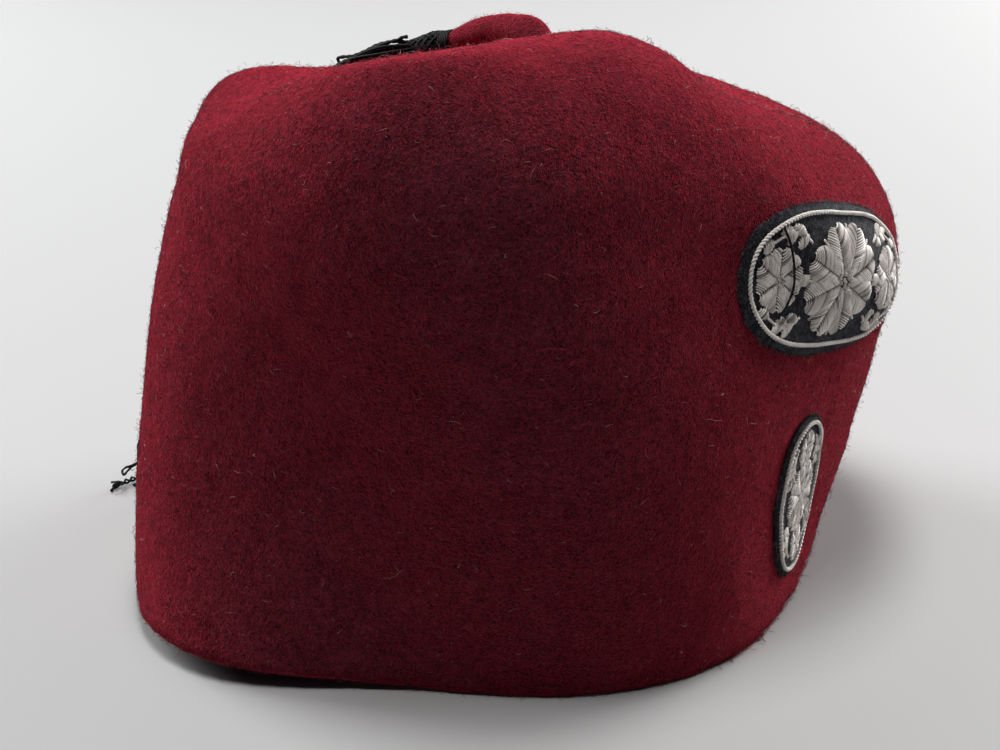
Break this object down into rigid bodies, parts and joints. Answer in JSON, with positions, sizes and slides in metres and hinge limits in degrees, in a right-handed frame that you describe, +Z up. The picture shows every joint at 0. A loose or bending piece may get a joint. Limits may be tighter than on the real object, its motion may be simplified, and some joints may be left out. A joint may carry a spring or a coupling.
{
  "type": "fez hat",
  "caption": "Soft wool felt fez with a low slumped crown, a felt stalk with a cord tassel, and embroidered cloth patches on the front.",
  "frame": {"origin": "middle of the bounding box, on the surface that the hat stands on", "axes": "+Z up; the front with the patches looks along -Y; the wearer's right side is on -X"},
  "size_m": [0.1914, 0.1958, 0.1364],
  "materials": {
    "red_felt": "matt wool felt with a short nap",
    "black_cord": "soft twisted cord",
    "patch_cloth": "matt wool cloth",
    "silver_thread": "satin stitched thread"
  },
  "bodies": {
    "root": {"felt_body": "red_felt", "tassel": "black_cord", "upper_patch_backing": "patch_cloth", "upper_patch_embroidery": "silver_thread", "lower_patch_backing": "patch_cloth", "lower_patch_embroidery": "silver_thread"}
  },
  "joints": []
}
